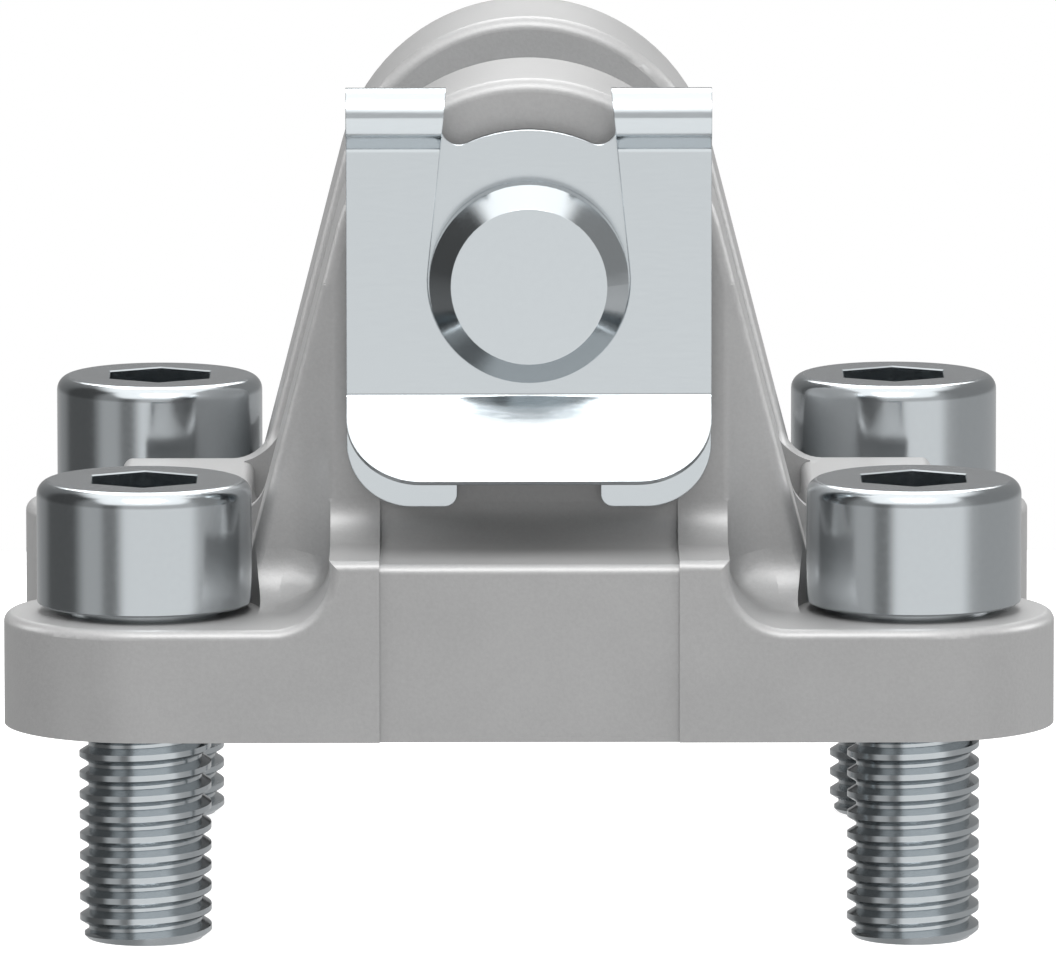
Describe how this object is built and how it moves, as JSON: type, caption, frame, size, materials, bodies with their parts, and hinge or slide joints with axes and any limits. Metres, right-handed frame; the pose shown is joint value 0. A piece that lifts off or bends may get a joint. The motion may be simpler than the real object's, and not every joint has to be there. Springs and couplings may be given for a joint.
{
  "type": "swivel flange",
  "caption": "Square cast aluminium cylinder end flange with a slotted two-ear clevis, a cross pin held by a folded spring clip, and socket cap screws in its corners.",
  "frame": {"origin": "centre of the mounting face, in the plane that lies on the cylinder's end", "axes": "+Z from the mounting face towards the ears, the clevis pin lies along Y, and the clip is on the -Y side"},
  "size_m": [0.0635, 0.0636, 0.0522],
  "materials": {
    "cast_aluminium": "fine bead-blasted casting, matt",
    "pin_steel": "ground, bright",
    "spring_steel": "bright rolled strip, mirror-like",
    "screw_steel": "zinc-plated, bright"
  },
  "bodies": {
    "flange": {"flange_body": "cast_aluminium", "retaining_clip": "spring_steel", "cap_screw_front_left": "screw_steel", "cap_screw_front_right": "screw_steel", "cap_screw_rear_left": "screw_steel", "cap_screw_rear_right": "screw_steel"},
    "pin": {"clevis_pin": "pin_steel"}
  },
  "joints": [
    {"name": "pin_turn", "type": "hinge", "parent": "flange", "child": "pin", "pos_m": [0, 0, 0.027], "axis": [0, 1, 0], "continuous": true}
  ]
}
